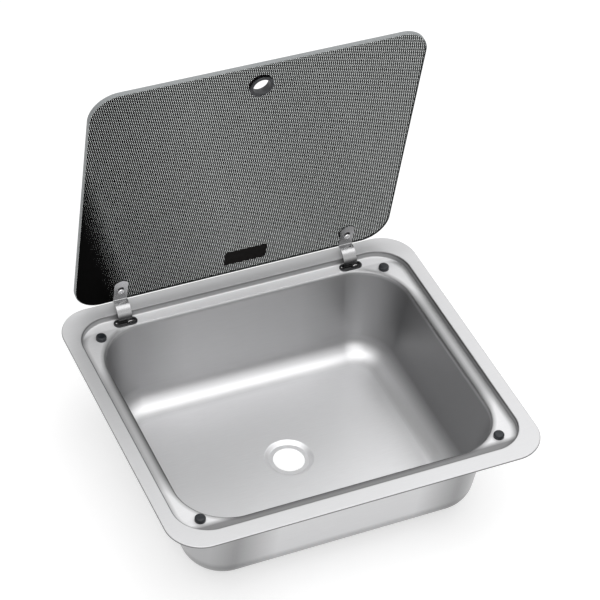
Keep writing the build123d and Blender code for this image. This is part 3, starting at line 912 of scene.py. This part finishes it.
@dataclass
class Basin:
    """Pressed steel basin with its rubber bumpers and slot liners."""

    workshop: Workshop
    sheet: float = 0.8
    rim: Outline = Outline(420.0, 370.0, 38.5)
    recess: Outline = Outline(387.0, 329.0, 37.0)
    mouth: Outline = Outline(356.0, 300.0, 56.0)
    outlet: Outline = Outline(35.0, 35.0, 17.5, 5.0)
    rim_top: float = 1.5
    edge_round: float = 1.2
    rim_roll: float = 2.0
    recess_depth: float = 8.0
    foot_round: float = 1.5
    mouth_roll: float = 3.0
    bowl_depth: float = 120.0
    draft: float = 7.2
    floor_round: float = 30.0
    seat_radius: float = 22.5
    seat_depth: float = 3.5
    seat_slope: float = 4.5
    outlet_round: float = 1.2
    slot_length: float = 24.8
    slot_width: float = 9.6
    slot_place: Pair = (135.0, 157.0)
    bumper_hole: float = 2.6
    bumper_place: Pair = (169.0, 141.4)
    loop_count: int = 96
    # Inner face: painted light and shade by height and place, as set in the steel's defaults.
    steel: SatinSteel = PaintedShadeSteel("pressed_steel", 0.56, 0.0, 0.44)
    # Outer face: painted shade along the bottom of the outer wall and towards its ends, lifted by a painted highlight
    # at its corners, with painted light higher up.
    underside: SatinSteel = PaintedShadeSteel(
        "pressed_steel_underside", 0.56, 0.0, 0.36, side_shade_bands=(Band(80.0, 126.0, 0.5), Band(130.0, 152.0, 1.4)),
        levels_up=(Level(-124.0, 0.4), Level(-112.0, 0.42, 0.0, 0.3), Level(-107.0, 0.7, 0.0, 0.8),
                   Level(-97.0, 0.85, 0.0, 1.0), Level(-90.0, 1.16, 0.0, 1.0), Level(-12.0, 1.12, 0.0, 1.0),
                   Level(-7.0, 0.9), Level(4.0, 0.9)), outline_shades=(), front_shade=EVEN, back_mirror=EVEN)
    facing_down: float = -0.05
    hole_sides: int = 32
    slot_sides: int = 48
    rubber: Finish = Mottled.moulded("bumper_rubber", (0.013, 0.015, 0.018), 0.36, shine=0.35)
    plastic: Finish = Mottled.moulded("liner_plastic", (0.014, 0.014, 0.016), 0.32)

    @property
    def ledge(self) -> float:
        """Height of the ledge's upper face."""
        return self.rim_top - self.recess_depth

    def section(self) -> Section:
        """Section of the pressing, from the outlet over the bowl and ledge to the rim and back below.

        Returns:
            The section.
        """
        lean = math.radians(self.draft)
        floor = self.rim_top - self.bowl_depth
        seat = floor - self.seat_depth
        drop = (self.ledge - floor) * math.tan(lean)
        grow = self.sheet / math.cos(lean) - self.sheet * math.tan(lean)
        half_mouth, half_recess, half_rim = self.mouth.width / 2, self.recess.width / 2, self.rim.width / 2
        under_rim = self.rim_top - self.sheet
        top = [
            Corner(self.outlet.width / 2, seat, self.outlet),
            Corner(self.seat_radius, seat, self.outlet, self.outlet_round),
            Corner(self.seat_radius + self.seat_slope, floor, self.outlet, self.outlet_round + self.sheet),
            Corner(half_mouth - drop, floor, self.mouth, self.floor_round),
            Corner(half_mouth, self.ledge, self.mouth, self.mouth_roll),
            Corner(half_recess, self.ledge, self.recess, self.foot_round),
            Corner(half_recess, self.rim_top, self.recess, self.rim_roll),
            Corner(half_rim, self.rim_top, self.rim, self.edge_round)]
        below = [
            Corner(half_rim, 0.0, self.rim),
            Corner(half_rim - self.sheet, 0.0, self.rim),
            Corner(half_rim - self.sheet, under_rim, self.rim, self.edge_round - self.sheet),
            Corner(half_recess + self.sheet, under_rim, self.recess, self.rim_roll - self.sheet),
            Corner(half_recess + self.sheet, self.ledge - self.sheet, self.recess, self.foot_round + self.sheet),
            Corner(half_mouth + grow, self.ledge - self.sheet, self.mouth, self.mouth_roll - self.sheet),
            Corner(half_mouth + grow - drop, floor - self.sheet, self.mouth, self.floor_round + self.sheet),
            Corner(self.seat_radius + self.seat_slope + self.sheet, floor - self.sheet, self.outlet, self.outlet_round),
            Corner(self.seat_radius + self.sheet, seat - self.sheet, self.outlet, self.outlet_round + self.sheet),
            Corner(self.outlet.width / 2, seat - self.sheet, self.outlet)]
        return Section(top + below)

    def holes(self) -> BMesh:
        """Cutters of the two hinge slots and the four bumper holes.

        Returns:
            The cutters in one mesh.
        """
        slot_cut, bumper_cut = 6 * self.sheet, 4 * self.sheet
        tools = bmesh.new()
        for side in (-1, 1):
            place = Vector((side * self.slot_place[0], self.slot_place[1], self.ledge))
            obround(tools, place, self.slot_length, self.slot_width, slot_cut, self.slot_sides)
            for end in (-1, 1):
                place = Vector((side * self.bumper_place[0], end * self.bumper_place[1], self.ledge))
                drill(tools, place, self.bumper_hole, bumper_cut, self.hole_sides)
        return tools

    def build(self) -> None:
        """Build the shell and dress the fittings that stay on it."""
        bm = bmesh.new()
        self.section().sweep(bm, self.loop_count)
        # Faces that look down take the underside copy of the steel, which carries its own painted shade and highlight.
        for face in bm.faces:
            face.material_index = int(face.normal.z < self.facing_down)
        shell = self.workshop.piece("basin_shell", bm, [self.steel, self.underside], Body.BASIN,
                                    Slot.BASIN_STEEL, ["basin"])
        cut(shell, self.holes())
        for end in ("front", "back"):
            for side in Side:
                self.workshop.dress(f"bumper_{end}_{side.value}", self.rubber)
        for side in Side:
            self.workshop.dress(f"slot_liner_{side.value}", self.plastic)


# ---------------- lid


@dataclass
class Lid:
    """Glass lid with its print, its bare panel and the rubber ring of the finger hole."""

    workshop: Workshop
    open_angle: float = 81.5
    pivot: Pair = (175.45, -5.95)
    pane: Outline = Outline(375.0, 323.0, 32.0)
    thickness: float = 5.0
    under: float = -1.5
    ground_edge: float = 0.8
    least_fold: float = 60.0
    level_normal: float = 0.99
    finger_y: float = -130.5
    finger_hole: float = 11.6
    screw_place: Pair = (135.0, 143.3)
    screw_hole: float = 4.2
    hole_sides: int = 64
    past_glass: float = 1.0
    past_print: float = 0.3
    print_gap: float = 0.02
    print_thickness: float = 0.05
    print_inset: float = 0.9
    panel_centre: Pair = (11.5, 135.1)
    panel_size: Pair = (50.0, 21.0)
    panel_thickness: float = 0.12
    panel_corner: float = 0.8
    loop_count: int = 96
    rubber: Finish = Mottled.moulded("ring_rubber", (0.022, 0.024, 0.027), 0.4)
    panel: Finish = Mottled.moulded("panel_film", (0.003, 0.0022, 0.002), 0.45, 0.000003, 0.04)

    @property
    def opened(self) -> Matrix:
        """Move from the closed lid's place to the open lid's."""
        pivot = Vector((0, *self.pivot))
        return Matrix.Translation(pivot) @ Matrix.Rotation(-math.radians(self.open_angle), 4, "X") \
            @ Matrix.Translation(-pivot)

    def slab(self, bm: BMesh, outline: Outline, low: float, high: float, inset: float = 0.0) -> None:
        """Add a flat slab between two heights.

        Args:
            bm: Mesh that takes the slab.
            outline: Outline of the slab.
            low: Lower face.
            high: Upper face.
            inset: How far the slab stays inside the outline.
        """
        half = outline.width / 2 - inset
        lower, upper = (outline.loop(bm, half, z, self.loop_count) for z in (low, high))
        bmesh.ops.bridge_loops(bm, edges=lower + upper)
        for loop in (lower, upper):
            bmesh.ops.contextual_create(bm, geom=loop)
        bmesh.ops.recalc_face_normals(bm, faces=bm.faces)

    def holes(self, low: float, high: float, grow: float = 0.0) -> BMesh:
        """Cutters of the finger hole and the two screw holes, in the open lid's place.

        Args:
            low: Lower end of the cutters on the closed lid.
            high: Upper end.
            grow: How much wider than the glass holes they are.

        Returns:
            The cutters in one mesh.
        """
        tools = bmesh.new()
        spots = [(0.0, self.finger_y, self.finger_hole)]
        spots += [(side * self.screw_place[0], self.screw_place[1], self.screw_hole) for side in (-1, 1)]
        for x, y, radius in spots:
            drill(tools, (x, y, (low + high) / 2), radius + grow, high - low, self.hole_sides)
        bmesh.ops.transform(tools, matrix=self.opened, verts=tools.verts)
        return tools

    def build_glass(self) -> None:
        """Build the pane with its ground edge."""
        bm = bmesh.new()
        high = self.under + self.thickness
        self.slab(bm, self.pane, self.under, high)
        rims = [e for e in bm.edges if e.calc_face_angle(0.0) > math.radians(self.least_fold)]
        bmesh.ops.bevel(bm, geom=rims, offset=self.ground_edge, offset_type="OFFSET", segments=4, profile=0.5,
                        affect="EDGES", material=-1, clamp_overlap=True)
        for face in bm.faces:
            face.material_index = 0 if abs(face.normal.z) > self.level_normal else 1
        bmesh.ops.transform(bm, matrix=self.opened, verts=bm.verts)
        pane = self.workshop.piece("glass_pane", bm, [CLEAR_GLASS, GROUND_GLASS], Body.LID, Slot.LID_GLASS,
                                   ["glass_lid"])
        cut(pane, self.holes(self.under - self.past_glass, high + self.past_glass))

    def build_print(self) -> None:
        """Build the dot print as a thin film on the lower face."""
        up_lid = self.opened.to_3x3() @ Vector((0, -1, 0))
        corner = self.opened @ Vector((-self.pane.width / 2, self.pane.length / 2, self.under))
        finish = DotPrint("dot_print", tuple(up_lid), tuple(corner))
        bm = bmesh.new()
        high = self.under - self.print_gap
        low = high - self.print_thickness
        self.slab(bm, self.pane, low, high, self.print_inset)
        bmesh.ops.transform(bm, matrix=self.opened, verts=bm.verts)
        film = self.workshop.piece("dot_print", bm, [finish], Body.LID, Slot.LID_GLASS)
        cut(film, self.holes(low - self.past_glass, high + self.past_glass, self.past_print))

    def build_panel(self) -> None:
        """Build the bare dark panel beside the middle of the hinge edge."""
        bm = bmesh.new()
        width, length = self.panel_size
        high = self.under - self.print_gap - self.print_thickness - self.print_gap
        bmesh.ops.create_cube(bm, size=1.0)
        bmesh.ops.scale(bm, vec=(width, length, self.panel_thickness), verts=bm.verts)
        bmesh.ops.translate(bm, verts=bm.verts, vec=(*self.panel_centre, high - self.panel_thickness / 2))
        corners = [e for e in bm.edges if abs(e.verts[0].co.z - e.verts[1].co.z) > self.panel_thickness / 2]
        bmesh.ops.bevel(bm, geom=corners, offset=self.panel_corner, offset_type="OFFSET", segments=4, profile=0.5,
                        affect="EDGES", material=-1)
        bmesh.ops.transform(bm, matrix=self.opened, verts=bm.verts)
        self.workshop.piece("lid_panel", bm, [self.panel], Body.LID, Slot.BLACK_PLASTIC)

    def build(self) -> None:
        """Build the glass, the print and the panel, and dress the ring."""
        self.build_glass()
        self.build_print()
        self.build_panel()
        self.workshop.dress("finger_ring", self.rubber)


# ---------------- hinges


@dataclass
class Hinge:
    """One swan-neck hinge with its fixings, bracket, pin and spring."""

    workshop: Workshop
    side: Side
    # Painted shade on the lower part of the strap's bend, darker below about 4.5 mm height.
    strap: SatinSteel = PaintedShadeSteel(
        "strap_steel", 0.38, 0.0, 0.26, Grain.NONE, 500.0, 0.0000008, top=40.0, foot=-20.0,
        levels_up=(Level(-20.0, 0.45), Level(1.5, 0.4), Level(4.5, 1.0), Level(40.0, 1.0)),
        side_shade_bands=(), outline_shades=(), front_shade=EVEN, back_mirror=EVEN)
    bracket: SatinSteel = SatinSteel("bracket_steel", 0.52, 0.0, 0.38, Grain.ALONG_X, 2000.0, 0.000005)
    wire: SatinSteel = SatinSteel("spring_wire", 0.6, 0.01, 0.22, Grain.NONE, 1600.0, 0.000003)
    plastic: Finish = Mottled.moulded("fixing_plastic", (0.014, 0.014, 0.015), 0.4)

    def build(self) -> None:
        """Dress the nodes of the hinge."""
        finishes = {"hinge_arm": self.strap, "hinge_bracket": self.bracket, "hinge_pin": BRIGHT_STEEL,
                    "hinge_spring": self.wire, "tab_screw": BRIGHT_STEEL, "cap_nut": BRIGHT_STEEL,
                    "tab_pad": self.plastic, "cap_bush": self.plastic, "hinge_housing": self.plastic}
        for node, finish in finishes.items():
            self.workshop.dress(f"{node}_{self.side.value}", finish)


# ---------------- studio


@dataclass(frozen=True)
class Softbox:
    """One soft lamp, aimed at a point of the sink, in metres."""

    name: str
    place: Triple
    aim: Triple
    size: Pair
    power: float

    def build(self) -> None:
        """Add the lamp to the scene."""
        lamp = bpy.data.lights.new(self.name, "AREA")
        lamp.shape = "RECTANGLE"
        lamp.size, lamp.size_y = self.size
        lamp.energy = self.power
        made = placed(self.name, lamp)
        made.location = self.place
        made.rotation_euler = (Vector(self.aim) - Vector(self.place)).to_track_quat("-Z", "Y").to_euler()


@dataclass
class Studio:
    """Pale floor, even surroundings, soft lamps and the camera; lamps and camera are in metres."""

    floor_z: float
    floor_size: float = 12000.0
    ambient: float = 0.42
    floor_tone: float = 0.6
    floor_glow: float = 0.56
    floor_specks: Noise = Noise(30.0)
    speck_tone: float = 0.99
    camera_place: Triple = (-0.85645, -1.66795, 1.80404)
    azimuth: float = -27.038
    elevation: float = 41.965
    roll: float = 4.721
    lens: float = 146.9
    sensor: float = 36.0
    sees_to: float = 20.0
    lamps: Sequence[Softbox] = field(default_factory=lambda: (
        Softbox("overhead_softbox", (0.1, -0.2, 2.2), (0.0, 0.0, 0.0), (3.6, 2.4), 44.0),
        Softbox("front_softbox", (-0.5, -2.3, 1.3), (0.0, 0.0, 0.0), (1.4, 1.0), 12.0)))

    def build_world(self) -> None:
        """Make the surroundings white to look at and even as a light."""
        world = bpy.data.worlds.new("studio")
        bpy.context.scene.world = world
        graph = Graph(world)
        strength = graph.spread(graph.looking(), self.ambient, 1.0)
        graph.end(graph.node("ShaderNodeBackground", {"Color": grey(1.0), "Strength": strength}),
                  "ShaderNodeOutputWorld")

    def build_floor(self) -> None:
        """Lay the pale floor, which keeps the sink's shadow."""
        bm = bmesh.new()
        bmesh.ops.create_grid(bm, x_segments=1, y_segments=1, size=self.floor_size / 2,
                              matrix=Matrix.Translation((0, 0, self.floor_z)))
        floor = meshed("floor", bm)
        paper = bpy.data.materials.new("pale_floor")
        graph = Graph(paper)
        colour = graph.mix(graph.noise(self.floor_specks), grey(self.floor_tone),
                           grey(self.floor_tone * self.speck_tone))
        glow = graph.node("ShaderNodeEmission", {
            "Color": grey(1.0), "Strength": graph.math("MULTIPLY", graph.looking(), self.floor_glow)})
        graph.end(graph.node("ShaderNodeAddShader", {
            0: graph.node("ShaderNodeBsdfDiffuse", {"Color": colour}).outputs[0], 1: glow.outputs[0]}))
        floor.data.materials.append(paper)

    def build_camera(self) -> None:
        """Set the camera where the photograph was taken from."""
        data = bpy.data.cameras.new("camera")
        data.lens = self.lens
        data.sensor_width = self.sensor
        data.clip_end = self.sees_to
        camera = placed("camera", data)
        camera.matrix_world = Matrix.Translation(self.camera_place) \
            @ Matrix.Rotation(math.radians(self.azimuth), 4, "Z") \
            @ Matrix.Rotation(math.radians(90.0 - self.elevation), 4, "X") \
            @ Matrix.Rotation(math.radians(self.roll), 4, "Z")
        bpy.context.scene.camera = camera

    def build(self) -> None:
        """Set up the studio."""
        bpy.context.scene.view_settings.view_transform = "Standard"
        self.build_world()
        self.build_floor()
        for lamp in self.lamps:
            lamp.build()
        self.build_camera()


def main() -> None:
    """Build the sink's pieces and the studio."""
    logging.basicConfig(level=logging.INFO, format="%(name)s: %(message)s")
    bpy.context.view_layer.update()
    workshop = Workshop()
    Basin(workshop).build()
    Lid(workshop).build()
    for side in Side:
        Hinge(workshop, side).build()
    Studio(floor_z=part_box("basin")[0].z / MM).build()


if __name__ == "__main__":
    main()
